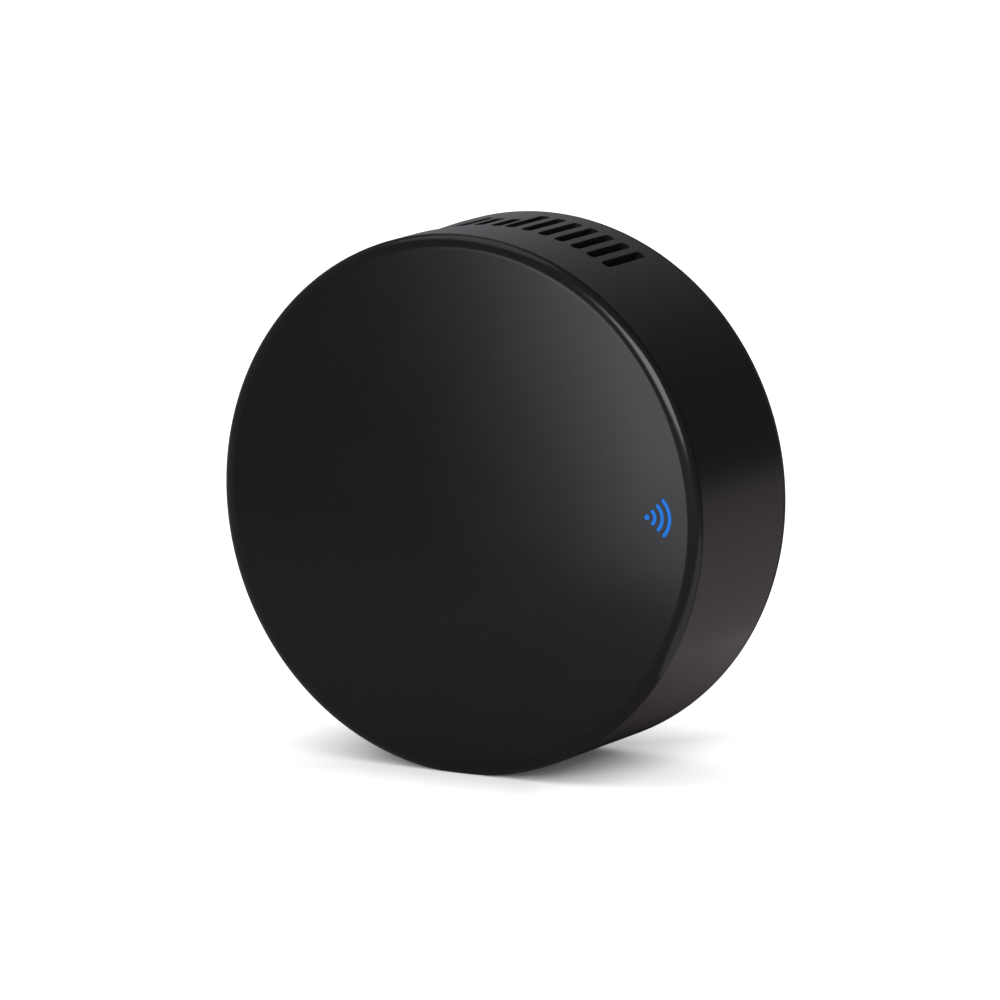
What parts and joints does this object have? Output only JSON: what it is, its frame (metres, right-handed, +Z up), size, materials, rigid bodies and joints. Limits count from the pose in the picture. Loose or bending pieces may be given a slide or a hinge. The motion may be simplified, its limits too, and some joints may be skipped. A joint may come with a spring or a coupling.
{
  "type": "smart infrared blaster",
  "caption": "Round black smart infrared blaster that stands on its rim, with vent slots, a power port, a reset button and a lit signal mark on its face.",
  "frame": {"origin": "on the surface that the puck stands on, under the middle of its depth, in the plane of its axis", "axes": "+Z up, the puck's axis along Y, the marked face towards -Y and the rubber foot towards +Y"},
  "size_m": [0.063, 0.023, 0.0628],
  "materials": {
    "cover_gloss": "high gloss black, lets infrared light through",
    "ring_gloss": "gloss black with a soft sheen",
    "base_matte": "fine matt texture",
    "foot_rubber": "matt rubber",
    "mark_blue": "clear blue, lit from behind",
    "button_gloss": "gloss black",
    "screw_steel": "zinc plated",
    "tin_plate": "satin tin plate",
    "gold_plate": "gold flash",
    "chip_black": "moulded epoxy",
    "board_green": "green solder mask",
    "module_board": "blue solder mask",
    "diode_white": "white moulded housing",
    "diode_resin": "clear epoxy",
    "can_aluminium": "drawn can",
    "chip_ceramic": "fired ceramic"
  },
  "bodies": {
    "case": {"front_cover": "cover_gloss", "body_ring": "ring_gloss", "base_cover": "base_matte", "foot_ring": "foot_rubber", "case_screws": "screw_steel", "light_guide": "mark_blue", "main_board": "board_green", "board_screws": "screw_steel", "usb_shell": "tin_plate", "usb_tongue": "chip_black", "usb_contacts": "gold_plate", "reset_switch": "tin_plate", "switch_dome": "tin_plate", "wifi_board": "module_board", "wifi_shield": "tin_plate", "wifi_antenna": "gold_plate", "status_led": "diode_white", "ir_led_1": "diode_resin", "ir_led_2": "diode_resin", "ir_led_3": "diode_resin", "ir_led_4": "diode_resin", "ir_led_5": "diode_resin", "ir_led_6": "diode_resin", "ir_led_7": "diode_resin", "led_leads": "tin_plate", "ir_receiver": "chip_black", "receiver_leads": "tin_plate", "smoothing_capacitors": "can_aluminium", "voltage_regulator": "chip_black", "driver_transistors": "chip_black", "control_chip": "chip_black", "memory_chip": "chip_black", "crystal": "can_aluminium", "chip_resistors": "chip_black", "chip_capacitors": "chip_ceramic"},
    "button": {"reset_button": "button_gloss"},
    "plunger": {"switch_plunger": "chip_black"}
  },
  "joints": [
    {"name": "reset_press", "type": "slide", "parent": "case", "child": "button", "axis": [0.5225, 0, -0.8526], "range_m": [0, 0.0003], "stiffness_N_per_m": 3000},
    {"name": "plunger_press", "type": "slide", "parent": "case", "child": "plunger", "axis": [0.5225, 0, -0.8526], "range_m": [0, 0.0003]}
  ],
  "couplings": [
    {"joint": "plunger_press", "follows": "reset_press", "ratio": 1}
  ]
}
